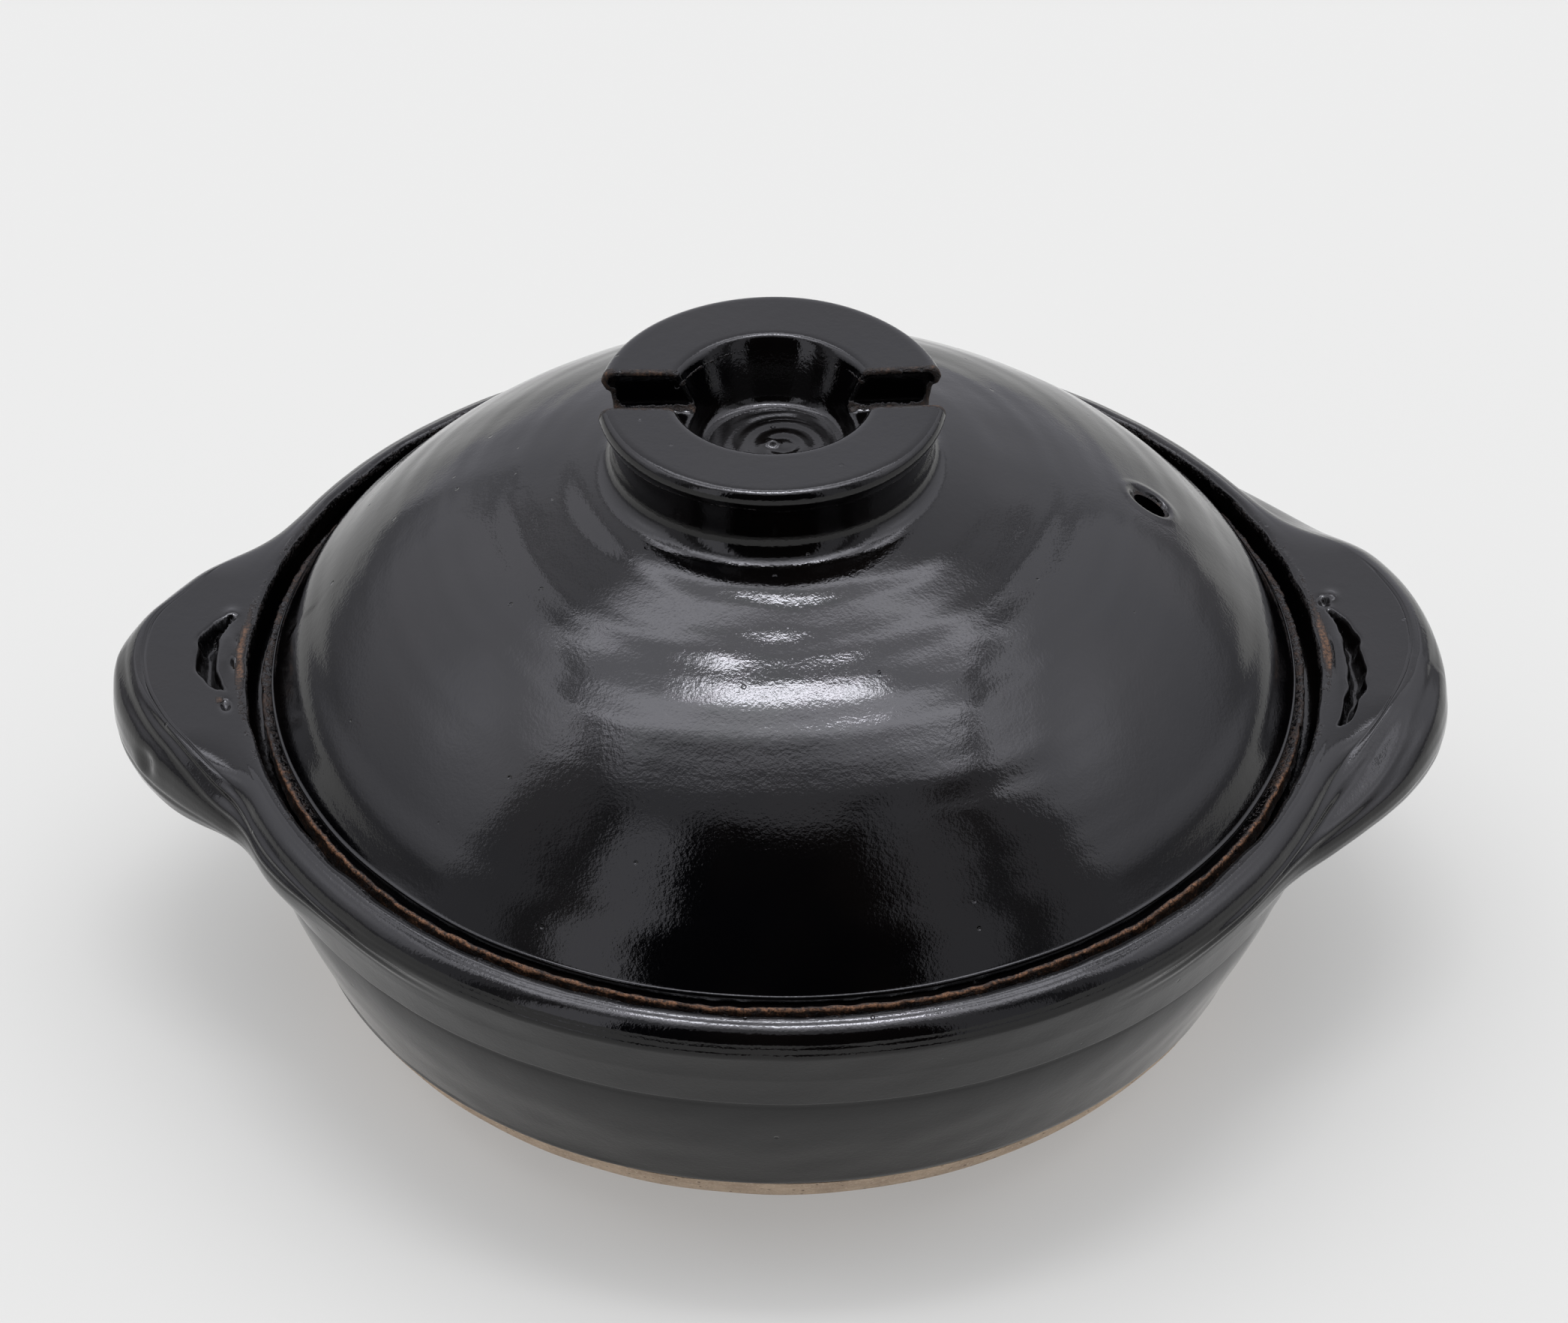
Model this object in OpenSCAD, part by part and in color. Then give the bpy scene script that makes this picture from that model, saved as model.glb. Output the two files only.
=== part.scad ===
// Lidded stoneware hot pot: a wide thrown bowl with a thick rim collar and two side lugs,
// and a domed lid with a notched ring knob. Millimetres, +Z up, X through the two lugs.
// The origin is the centre of the foot, on the surface the pot stands on.

/* [Pot] */
// Radius of the flat foot that the pot stands on
foot_r = 80; // [76:1:84]
// Thickness of the pot's floor at its centre
floor_t = 9.5; // [8:0.5:11]
// Height of the line below which the clay is left bare
bare_h = 19.7; // [18:0.1:21]
// Outer radius of the wall at that line
bare_r = 107.5; // [106:0.5:109]
// Height of the step under the rim collar
step_h = 53.2; // [52:0.1:54]
// Outer radius of the wall at the step
step_r = 119; // [118:0.1:119.4]
// Thickness of the thrown wall, measured level
wall_t = 7.5; // [6.5:0.5:8]

/* [Rim collar] */
// Height of the rim's crest
rim_h = 80; // [79.6:0.1:81]
// Radius of the rim's inner edge, where the lid drops in
rim_r = 120; // [119.5:0.1:120.5]
// Widest radius of the collar
collar_r = 126; // [125.4:0.1:127]
// Height of the ledge that the lid rests on
seat_h = 70.5; // [69:0.5:71]
// Inner radius of that ledge
seat_r = 111.6; // [110.5:0.1:112.5]

/* [Lugs] */
// Distance from the pot's axis to a lug's tip
lug_tip = 149.4; // [145:0.1:152]
// Half of the angle that a lug takes up on the collar
lug_half_angle = 24.5; // [22:0.5:27]
// Height of a lug's flat top
lug_top = 79.2; // [78:0.1:79.4]
// Height of a lug's underside
lug_bottom = 54; // [53.5:0.5:56]
// Depth of the finger hollow in the underside
scoop_d = 6.5; // [5:0.5:8]

/* [Lid] */
// Height of the dome's crown under the knob
crown_h = 136.5; // [133:0.5:140]
// Radius of the dome where it meets the flange
dome_r = 113.2; // [112:0.1:114]
// Outer radius of the lid's bare flange
flange_r = 116; // [115:0.1:116.4]
// Height of the flange's top face
flange_h = 78.3; // [77.5:0.1:79]
// Thickness of the dome at its crown
lid_t = 7.5; // [6.5:0.5:8.5]
// Room between the flange and the ledge under it
seat_gap = 0.3; // [0.2:0.1:0.5]

/* [Knob] */
// Height of the knob's rim
knob_h = 151; // [149:0.2:153]
// Widest radius of the knob's lip
lip_r = 38; // [37.2:0.2:39]
// Radius of the neck under the lip
neck_r = 35.2; // [34:0.2:36]
// Radius of the well at the knob's top
well_top_r = 21.8; // [20:0.2:23]
// Radius of the well at its floor
well_floor_r = 16.4; // [15:0.2:18]
// Radius where the neck's fillet meets the dome
fillet_r = 44; // [42:0.5:46]
// Width of the notch cut across the knob
notch_w = 12; // [10:0.5:14]
// Distance of the notch's centre line from the knob's axis
notch_y = 1; // [-1:0.5:1]
// Height of the notch's floor
notch_h = 140.6; // [139.5:0.2:142]

/* [Steam hole] */
// Radius of the hole
steam_r = 3.5; // [3:0.25:4]
// Distance of the hole from the lid's axis
steam_at = 82.5; // [75:0.5:86]
// Direction of the hole round the lid, from +X
steam_angle = 9; // [0:1:360]

/* [Hidden] */
$fn = 128;
steps = 14;
recess_d = 1.5;
recess_r = foot_r - 12;
nipple_r = 3;
nipple_d = 2;
notch_fillet = 3;
glaze = [0.09, 0.09, 0.1];
bare_clay = [0.65, 0.57, 0.5];
toasted_clay = [0.38, 0.22, 0.13];

// Points along a cubic curve from a to d, pulled towards b and c.
function curve(a, b, c, d) =
    [for (i = [0 : steps]) let (t = i / steps, s = 1 - t)
        s*s*s*a + 3*s*s*t*b + 3*s*t*t*c + t*t*t*d];

// The same points from the far end.
function back(points) = [for (i = [len(points) - 1 : -1 : 0]) points[i]];

// All outlines are [radius, height] and turn about the pot's axis.
base_outer = curve([foot_r, 0], [foot_r + 14, 2],
                   [bare_r - 3.5, bare_h - 9], [bare_r, bare_h]);
base_inner = curve([foot_r - 18, floor_t], [foot_r + 4, floor_t],
                   [bare_r - wall_t - 5, bare_h - 6.5], [bare_r - wall_t, bare_h]);
wall_outer = curve([bare_r, bare_h], [bare_r + 3.7, bare_h + 9.6],
                   [step_r - 1.4, step_h - 10.2], [step_r, step_h]);
wall_inner = curve([bare_r - wall_t, bare_h], [bare_r - wall_t + 5, bare_h + 7],
                   [step_r - wall_t - 1.6, step_h - 13], [step_r - wall_t, step_h]);
collar_low = curve([step_r + 1.9, step_h + 1.4], [step_r + 4, step_h + 5.8],
                   [collar_r, rim_h - 13.6], [collar_r, rim_h - 7.4]);
collar_high = curve([collar_r, rim_h - 7.4], [collar_r, rim_h - 2.8],
                    [rim_r + 3.8, rim_h], [rim_r + 1.6, rim_h]);
collar_inner = curve([rim_r + 1.6, rim_h], [rim_r + 0.8, rim_h],
                     [rim_r, rim_h - 0.8], [rim_r, rim_h - 1.8]);
dome_outer = curve([0, crown_h], [55, crown_h], [dome_r - 16, flange_h + 30],
                   [dome_r, flange_h]);
dome_inner = curve([0, crown_h - lid_t], [52, crown_h - lid_t],
                   [dome_r - 22, flange_h + 26], [dome_r - 7, flange_h]);

function dome_z(r) = lookup(r, dome_outer);

// The bare clay dish at the bottom, with a shallow recess inside the foot.
module base() {
    color(bare_clay) rotate_extrude()
        polygon(concat([[0, recess_d], [recess_r - 2, recess_d], [recess_r, 0]],
                       base_outer, back(base_inner), [[0, floor_t]]));
}

// The glazed wall between the bare clay and the collar.
module bowl_wall() {
    color(glaze) rotate_extrude()
        polygon(concat(wall_outer, back(wall_inner)));
}

// The thick rim: a rounded band outside, and inside it the ledge for the lid.
module rim_collar() {
    color(glaze) rotate_extrude()
        polygon(concat([[step_r - wall_t, step_h], [step_r + 1.2, step_h]],
                       collar_low, collar_high, collar_inner,
                       [[rim_r - 1.6, seat_h], [seat_r + 1, seat_h],
                        [seat_r, seat_h - 1], [seat_r - 0.6, seat_h - 5]]));
}

// The space that the collar fills, out from the axis, for fitting the lugs against it.
module collar_space() {
    rotate_extrude()
        polygon(concat([[0, step_h], [step_r + 1.2, step_h]], collar_low, collar_high,
                       [[0, rim_h]]));
}

// How far a lug has swelled out of the collar at angle a from its middle, from 0 to 1.
function swell(a) = pow(max(0, 1 - pow(abs(a) / lug_half_angle, 2.2)), 1.45);

// The tip's upright profile as [height, depth behind the widest point] pairs.
function lug_levels() =
    let (deep = lug_top - lug_bottom)
    [for (p = [[0, 8], [0.04, 5], [0.13, 2.8], [0.3, 1.4], [0.48, 0.4], [0.61, 0], [0.74, 0.6],
               [0.86, 2], [0.95, 4.2], [0.985, 5.8], [1, 7.4]])
        [lug_bottom + p[0] * deep, p[1]]];

lug_a = lug_half_angle + 7;
lug_cuts = 40;
lug_root = rim_r - 6;
lug_sink = 2;

// The collar's outer radius at height z.
function collar_at(z) = lookup(z, [for (p = concat(collar_low, collar_high)) [p[1], p[0]]]);

// One ring of a lug: its outer edge, whose ends are sunk in the collar, then back along an arc
// deeper in the collar.
function lug_ring(z, inset) = concat(
    [for (i = [0 : lug_cuts]) let (a = lug_a * (2 * i / lug_cuts - 1), low = collar_at(z) - lug_sink,
        r = low + (lug_tip - inset - low) * swell(a))
        [r * cos(a), r * sin(a), z]],
    [for (i = [lug_cuts : -1 : 0]) let (a = lug_a * (2 * i / lug_cuts - 1))
        [lug_root * cos(a), lug_root * sin(a), z]]);

// A lug on the +X side: rings stacked into a shell, hollowed below, cut back to the collar.
module lug() {
    levels = lug_levels();
    count = 2 * (lug_cuts + 1);
    last = len(levels) - 1;
    points = [for (level = levels) each lug_ring(level[0], level[1])];
    floors = [for (i = [0 : lug_cuts - 1]) [count - 1 - i, count - 2 - i, i + 1, i]];
    tops = [for (i = [0 : lug_cuts - 1])
        [for (j = [i, i + 1, count - 2 - i, count - 1 - i]) last * count + j]];
    sides = [for (k = [0 : last - 1]) for (i = [0 : count - 1]) let (j = (i + 1) % count)
        [k * count + i, k * count + j, (k + 1) * count + j, (k + 1) * count + i]];
    scoop_r = 17;
    difference() {
        polyhedron(points, concat(floors, tops, sides), convexity = 6);
        collar_space();
        translate([collar_r + 6, 0, lug_bottom + scoop_d - scoop_r])
            sphere(r = scoop_r, $fn = 64);
    }
}

module right_lug() {
    color(glaze) lug();
}

module left_lug() {
    color(glaze) mirror([1, 0, 0]) lug();
}

// The dome of the lid, with its pulled nipple in the knob's well, and the steam hole.
module lid_dome() {
    crown = [for (p = dome_outer) if (p[0] > nipple_r) p];
    color(glaze) difference() {
        rotate_extrude()
            polygon(concat([[0, crown_h + nipple_d], [nipple_r / 2, crown_h + nipple_d * 0.8],
                            [nipple_r, dome_z(nipple_r)]],
                           crown, back(dome_inner)));
        rotate([0, 0, steam_angle]) translate([steam_at, 0, flange_h])
            cylinder(r = steam_r, h = crown_h - flange_h);
    }
}

// The bare clay flange under the dome's edge, which sits on the ledge.
module lid_flange() {
    low = seat_h + seat_gap;
    color(toasted_clay) rotate_extrude()
        polygon([[dome_r - 5, low], [flange_r - 0.6, low], [flange_r, low + 0.6],
                 [flange_r, flange_h - 1.2], [flange_r - 0.5, flange_h - 0.4],
                 [flange_r - 1.3, flange_h], [dome_r - 7, flange_h]]);
}

// The cross-section of the notch, which is round in its lower corners.
module notch_outline() {
    half = notch_w / 2;
    corner = [for (i = [0 : 6]) let (a = 90 * i / 6)
        [half - notch_fillet + notch_fillet * sin(a), notch_fillet - notch_fillet * cos(a)]];
    polygon(concat(corner, [[half, knob_h], [-half, knob_h]],
                   [for (p = back(corner)) [-p[0], p[1]]]));
}

// The ring knob: a flat-topped ring with a lip, cut straight across by a notch.
module knob() {
    foot = [for (p = dome_outer) if (p[0] > well_floor_r && p[0] < fillet_r) p];
    neck = curve([fillet_r, dome_z(fillet_r)], [fillet_r - 5, dome_z(fillet_r - 5) + 1],
                 [neck_r, dome_z(neck_r) + 0.5], [neck_r, dome_z(neck_r) + 5]);
    lip = curve([lip_r - 0.6, knob_h - 5.6], [lip_r + 0.3, knob_h - 4],
                [lip_r - 0.4, knob_h - 0.6], [lip_r - 2.4, knob_h]);
    color(glaze) difference() {
        rotate_extrude()
            polygon(concat([[well_floor_r, dome_z(well_floor_r)]], foot, neck,
                           [[neck_r, knob_h - 6.4]], lip,
                           [[well_top_r + 0.8, knob_h - 0.8], [well_top_r, knob_h - 1.4]]));
        translate([-fillet_r, notch_y, notch_h]) rotate([90, 0, 90])
            linear_extrude(2 * fillet_r) notch_outline();
    }
}

base();
bowl_wall();
rim_collar();
left_lug();
right_lug();
lid_dome();
lid_flange();
knob();
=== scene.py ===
"""Looks of a lidded black-glazed stoneware hot pot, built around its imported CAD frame.

Shapes are worked out in millimetres in the frame's own axes (+Z up, +X through the right lug,
-Y towards the viewer) and turned into metres when a mesh is made.
"""
import math

import bmesh
import bpy
import numpy as np
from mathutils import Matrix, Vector


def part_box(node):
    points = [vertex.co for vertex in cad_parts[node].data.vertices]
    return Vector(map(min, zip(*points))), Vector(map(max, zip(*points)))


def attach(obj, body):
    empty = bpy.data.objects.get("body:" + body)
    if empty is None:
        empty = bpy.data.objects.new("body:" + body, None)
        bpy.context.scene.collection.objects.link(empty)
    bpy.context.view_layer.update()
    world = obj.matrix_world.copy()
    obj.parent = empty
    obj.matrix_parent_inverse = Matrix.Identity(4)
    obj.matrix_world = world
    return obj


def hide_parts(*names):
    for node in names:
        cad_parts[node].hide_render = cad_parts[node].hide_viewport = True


MM = 0.001
TURN = 2 * math.pi

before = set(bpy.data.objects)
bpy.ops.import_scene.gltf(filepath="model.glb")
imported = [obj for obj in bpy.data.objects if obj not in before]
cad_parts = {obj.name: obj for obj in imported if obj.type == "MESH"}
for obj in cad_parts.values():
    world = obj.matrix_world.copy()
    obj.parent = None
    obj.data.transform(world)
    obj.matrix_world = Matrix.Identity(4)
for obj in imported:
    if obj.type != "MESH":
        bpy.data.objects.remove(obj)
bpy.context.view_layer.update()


# ---------------------------------------------------------------- sizes, from the frame

def radius_of(node):
    """Widest reach of a CAD node along Y, which no lug changes, in mm."""
    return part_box(node)[1].y / MM


RIM_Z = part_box("rim_collar")[1].z / MM
STEP_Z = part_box("rim_collar")[0].z / MM
BORDER_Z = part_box("base")[1].z / MM
BORDER_R = radius_of("base")
STEP_R = radius_of("bowl_wall")
COLLAR_R = radius_of("rim_collar")
RIM_R = COLLAR_R - 6.6
LUG_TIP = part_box("right_lug")[1].x / MM
LUG_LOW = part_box("right_lug")[0].z / MM
FLANGE_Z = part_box("lid_flange")[1].z / MM
FLANGE_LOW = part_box("lid_flange")[0].z / MM
FLANGE_R = radius_of("lid_flange")
DOME_R = radius_of("lid_dome")
KNOB_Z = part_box("knob")[1].z / MM
SEAT_Z = FLANGE_LOW - 0.3

# The pot's other sizes, in mm.
SEAT_IN = 111.6
WALL_T = 7.5
FOOT_R = 80.0
FLOOR_T = 9.5
BASE_TOP_GAP = 1.7

# The lid's other sizes, in mm.
CROWN_Z = 136.5
LID_T = 7.5
NECK_R = 35.2
LIP_R = 37.7
WELL_TOP_R = 21.8
WELL_FLOOR_R = 16.4
WELL_GAP_R = 13.6
KNOB_SKIRT_R = 48.5
NOTCH_Z = 140.5
NOTCH_HALF = 6.4
NOTCH_Y = 1.25
NOTCH_SKEW = 0.0225
STEAM_R = 3.5
STEAM_XY = (81.5, 12.9)

# Thrown by hand, nothing is quite centred: how far each part has wandered, in mm.
DOME_X = 0.8
KNOB_X = -1.6
BOWL_X, BOWL_Y = 0.8, -0.25

# How far the uneven rim dips towards the viewer and at the rear left, in mm.
DIP_FRONT = 1.0
DIP_REAR = 0.3
# Takes a hair off the pot's depth, so that its unevenness stays inside the CAD box.
DEPTH_FIT = 0.9984

# Faces round each turned piece, and round the base.
TURNS = 720
BASE_TURNS = 480


# ---------------------------------------------------------------- small maths

def smooth(low, high, x):
    """0 below low, 1 above high, with a soft turn between."""
    t = np.clip((np.asarray(x, float) - low) / (high - low), 0, 1)
    return t * t * (3 - 2 * t)


def bump(x, centre, half):
    """A soft single hump, 1 at centre and 0 at half away from it."""
    return 1 - smooth(0, 1, np.abs(np.asarray(x, float) - centre) / half)


def smax(a, b, k):
    """Larger of two distances, with the edge between them rounded over about k."""
    h = np.clip(0.5 + 0.5 * (a - b) / k, 0, 1)
    return b + (a - b) * h + k * h * (1 - h)


def smin(a, b, k):
    """Smaller of two distances, with the edge between them rounded over about k."""
    return -smax(-a, -b, k)


def cubic(a, b, c, d, n):
    """n + 1 points on a cubic curve from a to d, pulled towards b and c."""
    t = np.linspace(0, 1, n + 1)[:, None]
    s = 1 - t
    a, b, c, d = (np.array(p, float) for p in (a, b, c, d))
    return s**3 * a + 3 * s * s * t * b + 3 * s * t * t * c + t**3 * d


def join(*parts):
    """One outline out of points and lists of points."""
    return np.vstack([np.atleast_2d(np.array(p, float)) for p in parts])


def spaced(points, step):
    """The same outline with points about one step apart, its own corners kept."""
    out = [points[0]]
    for a, b in zip(points[:-1], points[1:]):
        n = max(1, int(round(np.linalg.norm(b - a) / step)))
        out += [a + (b - a) * (i + 1) / n for i in range(n)]
    return np.array(out)


def flat(x, y=0.0):
    """Points at height 0, from x and y."""
    return np.stack([x, y + 0 * x, 0 * x], -1)


def wobble(p, size, seed):
    """Smooth hand-made unevenness, about -1 to 1, with features of the given size in mm."""
    waves = 7
    rng = np.random.RandomState(seed)
    p = np.asarray(p, float)
    total = np.zeros(p.shape[:-1])
    for _ in range(waves):
        way = rng.normal(size=3)
        way *= rng.uniform(0.55, 1.3) / np.linalg.norm(way)
        total += np.sin(p @ way * TURN / (2.2 * size) + rng.uniform(0, TURN))
    return total / math.sqrt(waves) * 0.9


# ---------------------------------------------------------------- meshes

def new_piece(name, vertices, faces, material, wear=None):
    """A smooth mesh object from points in mm. Wear, 0 to 1 for each, thins the glaze there;
    on the lid's seat it also carries painted light and painted shade.
    """
    mesh = bpy.data.meshes.new(name)
    mesh.from_pydata((np.asarray(vertices) * MM).tolist(), [], faces)
    mesh.update()
    piece = bpy.data.objects.new(name, mesh)
    bpy.context.scene.collection.objects.link(piece)
    mesh.materials.append(material)
    if wear is not None:
        layer = mesh.attributes.new("wear", "FLOAT", "POINT")
        layer.data.foreach_set("value", np.asarray(wear, np.float32).ravel())
    for polygon in mesh.polygons:
        polygon.use_smooth = True
    return piece


def turned_skin(grid):
    """Vertices and faces of a closed skin from grid[turn, along], whose first and last columns
    lie on the axis. Those two come last, as one vertex each."""
    turns, along = grid.shape[:2]
    body = grid[:, 1:-1].reshape(-1, 3)
    poles = np.array([grid[:, 0].mean(0), grid[:, -1].mean(0)])
    vertices = np.vstack([body, poles])
    width = along - 2
    first, last = len(body), len(body) + 1
    faces = []
    for i in range(turns):
        j = (i + 1) % turns
        a, b = i * width, j * width
        faces.append((first, a, b))
        for k in range(width - 1):
            faces.append((a + k, a + k + 1, b + k + 1, b + k))
        faces.append((a + width - 1, last, b + width - 1))
    return vertices, faces


def turned_ring(grid):
    """Vertices and faces of a ring from grid[turn, along], closed both ways."""
    turns, along = grid.shape[:2]
    faces = []
    for i in range(turns):
        a, b = i * along, (i + 1) % turns * along
        for k in range(along):
            m = (k + 1) % along
            faces.append((a + k, a + m, b + m, b + k))
    return grid.reshape(-1, 3), faces


def spin(profile, angles, centre_x=0.0):
    """grid[turn, along] of a profile of (radius, height) points turned about the axis."""
    r, z = profile[:, 0][None, :], profile[:, 1][None, :]
    ca, sa = np.cos(angles)[:, None], np.sin(angles)[:, None]
    return np.stack([r * ca + centre_x, r * sa, z + 0 * ca], 2)


def skin_values(values):
    """One value for each vertex of a turned_skin, from values[turn, along]."""
    return np.concatenate([values[:, 1:-1].ravel(), [0, 0]])


def face_outwards(piece):
    """Turns every face of a closed piece to point out of it."""
    work = bmesh.new()
    work.from_mesh(piece.data)
    bmesh.ops.recalc_face_normals(work, faces=work.faces)
    work.to_mesh(piece.data)
    work.free()


def surface_net(field, low, high, step):
    """Quads on the zero level of field(points), on a grid of the given step, then pulled
    exactly onto that level."""
    axes = [np.arange(a, b + step, step) for a, b in zip(low, high)]
    points = np.stack(np.meshgrid(*axes, indexing="ij"), -1)
    values = field(points)
    inside = values < 0
    corners = [(i, j, k) for i in (0, 1) for j in (0, 1) for k in (0, 1)]
    shape = [n - 1 for n in values.shape]

    def corner(array, c):
        return array[c[0]:c[0] + shape[0], c[1]:c[1] + shape[1], c[2]:c[2] + shape[2]]

    count = sum(corner(inside, c).astype(int) for c in corners)
    cells = (count > 0) & (count < 8)
    number = -np.ones(shape, int)
    number[cells] = np.arange(cells.sum())
    total, crossings = np.zeros((cells.sum(), 3)), np.zeros(cells.sum())
    for a in corners:
        for axis in range(3):
            if a[axis]:
                continue
            b = tuple(1 if i == axis else v for i, v in enumerate(a))
            va, vb = corner(values, a)[cells], corner(values, b)[cells]
            cross = (va < 0) != (vb < 0)
            t = np.where(cross, va / np.where(cross, va - vb, 1), 0)[:, None]
            pa, pb = corner(points, a)[cells], corner(points, b)[cells]
            total += np.where(cross[:, None], pa + (pb - pa) * t, 0)
            crossings += cross
    vertices = total / crossings[:, None]
    faces = []
    for axis in range(3):
        u, v = [i for i in range(3) if i != axis]
        ahead = np.roll(inside, -1, axis)
        change = inside != ahead
        edge = [slice(1, n - 1) for n in values.shape]
        where = np.argwhere(change[tuple(edge)]) + 1
        du, dv = np.eye(3, dtype=int)[u], np.eye(3, dtype=int)[v]
        ring = [number[tuple((where - o).T)] for o in (du * 0, du, du + dv, dv)]
        quads = np.stack(ring, 1)
        flip = inside[tuple(where.T)] != (axis == 1)
        quads[flip] = quads[flip][:, ::-1]
        faces.append(quads)
    return onto_level(field, vertices), np.vstack(faces).tolist()


def onto_level(field, vertices):
    """Vertices near the zero level of field(points), pulled onto it in a few small steps."""
    tiny, rounds, furthest, flattest = 0.02, 6, 0.3, 0.25
    for _ in range(rounds):
        here = field(vertices)
        slope = np.stack([field(vertices + tiny * np.eye(3)[i]) - here for i in range(3)], 1)
        slope /= tiny
        pull = here / np.maximum((slope**2).sum(1), flattest)
        vertices = vertices - np.clip(pull, -furthest, furthest)[:, None] * slope
    return vertices


def apply_modifiers(piece):
    """Makes a piece's modifiers part of its mesh."""
    graph = bpy.context.evaluated_depsgraph_get()
    done = bpy.data.meshes.new_from_object(piece.evaluated_get(graph))
    piece.modifiers.clear()
    old, piece.data = piece.data, done
    bpy.data.meshes.remove(old)


# ---------------------------------------------------------------- materials

class Nodes:
    """Short calls for building a node tree."""

    def __init__(self, tree):
        self.tree = tree
        tree.nodes.clear()

    def add(self, kind, **settings):
        node = self.tree.nodes.new(kind)
        for key, value in settings.items():
            setattr(node, key, value)
        return node

    def put(self, socket, value):
        """Feeds a socket from another one, or sets it to a plain value."""
        if isinstance(value, bpy.types.NodeSocket):
            self.tree.links.new(value, socket)
        elif value is not None:
            socket.default_value = value

    def math(self, operation, a, b=None):
        node = self.add("ShaderNodeMath", operation=operation)
        self.put(node.inputs[0], a)
        self.put(node.inputs[1], b)
        return node.outputs[0]

    def times(self, *values):
        product = values[0]
        for value in values[1:]:
            product = self.math("MULTIPLY", product, value)
        return product

    def plus(self, *values):
        total = values[0]
        for value in values[1:]:
            total = self.math("ADD", total, value)
        return total

    def ramp(self, value, low, high, out_low=0.0, out_high=1.0):
        """A soft step from out_low, where value is low, to out_high."""
        node = self.add("ShaderNodeMapRange", interpolation_type="SMOOTHSTEP")
        for socket, v in zip(node.inputs, (value, low, high, out_low, out_high)):
            self.put(socket, v)
        return node.outputs[0]

    def mix(self, factor, a, b, kind="RGBA"):
        node = self.add("ShaderNodeMix", data_type=kind)
        sockets = {"RGBA": (6, 7, 2), "FLOAT": (2, 3, 0)}[kind]
        self.put(node.inputs[0], factor)
        self.put(node.inputs[sockets[0]], a)
        self.put(node.inputs[sockets[1]], b)
        return node.outputs[sockets[2]]

    def noise(self, where, size_mm, detail=2.0, roughness=0.5):
        node = self.add("ShaderNodeTexNoise")
        self.put(node.inputs["Vector"], where)
        node.inputs["Scale"].default_value = 1 / (size_mm * MM)
        node.inputs["Detail"].default_value = detail
        node.inputs["Roughness"].default_value = roughness
        return node.outputs[0]

    def cells(self, where, size_mm):
        """Distance to the middle of each cell, and a number of its own for each cell, 0 to 1."""
        node = self.add("ShaderNodeTexVoronoi")
        self.put(node.inputs["Vector"], where)
        node.inputs["Scale"].default_value = 1 / (size_mm * MM)
        split = self.add("ShaderNodeSeparateColor")
        self.put(split.inputs[0], node.outputs["Color"])
        return node.outputs["Distance"], split.outputs[0]

    def bump(self, height, distance_mm, strength=1.0, normal=None):
        node = self.add("ShaderNodeBump")
        node.inputs["Strength"].default_value = strength
        node.inputs["Distance"].default_value = distance_mm * MM
        self.put(node.inputs["Height"], height)
        if normal is not None:
            self.put(node.inputs["Normal"], normal)
        return node.outputs[0]


def new_material(name):
    """A material, its nodes, its shader and the place of a point on the object."""
    material = bpy.data.materials.new(name)
    material.use_nodes = True
    nodes = Nodes(material.node_tree)
    shader = nodes.add("ShaderNodeBsdfPrincipled")
    out = nodes.add("ShaderNodeOutputMaterial")
    nodes.put(out.inputs["Surface"], shader.outputs[0])
    where = nodes.add("ShaderNodeTexCoord").outputs["Object"]
    return material, nodes, shader, where


def glaze_material(name, satin, bare_dark, bare_pale):
    """Thick black glaze, as rough as satin says, broken to bare clay where the wear layer and
    the glaze's own grit say that it is thin. The deeper the wear, the paler the clay shows; on
    the lid's seat the wear layer also carries painted light and painted shade."""
    material, n, shader, where = new_material(name)
    wear = n.add("ShaderNodeAttribute", attribute_name="wear").outputs["Fac"]
    grit = n.noise(where, 0.9, 3, 0.65)
    patch = n.noise(where, 5, 3, 0.6)
    thin = n.plus(wear, n.times(n.math("SUBTRACT", grit, 0.5), 0.9),
                  n.times(n.math("SUBTRACT", patch, 0.5), 0.7))
    broken = n.ramp(thin, 0.42, 0.62)
    tint = n.ramp(n.noise(where, 38, 2), 0.35, 0.7)
    black = n.mix(tint, (0.0006, 0.0006, 0.0009, 1), (0.0022, 0.0017, 0.0016, 1))
    worn = n.times(n.ramp(thin, 0.62, 1.0), n.ramp(n.noise(where, 0.8, 4, 0.8), 0.38, 0.62))
    rust = n.mix(worn, bare_dark, bare_pale)
    n.put(shader.inputs["Base Color"], n.mix(broken, black, rust))
    sheen_patch = n.ramp(n.noise(where, 22, 3), 0.35, 0.7, satin, satin + 0.04)
    fine = n.ramp(n.noise(where, 0.5, 1), 0.3, 0.75, 0.0, 0.05)
    n.put(shader.inputs["Roughness"], n.mix(broken, n.plus(sheen_patch, fine), 0.62, "FLOAT"))
    shader.inputs["IOR"].default_value = 1.41
    peel = n.noise(where, 2.6, 2, 0.5)
    grain = n.noise(where, 0.7, 2, 0.6)
    distance, chance = n.cells(where, 7)
    pinhole = n.times(n.ramp(distance, 0.05, 0.09, 1, 0), n.math("GREATER_THAN", chance, 0.72))
    surface = n.bump(peel, 0.033)
    surface = n.bump(grain, 0.030, normal=surface)
    surface = n.bump(n.times(pinhole, -1.0), 0.25, normal=surface)
    surface = n.bump(n.times(broken, grit), 0.35, normal=surface)
    n.put(shader.inputs["Normal"], surface)
    return material


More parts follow.
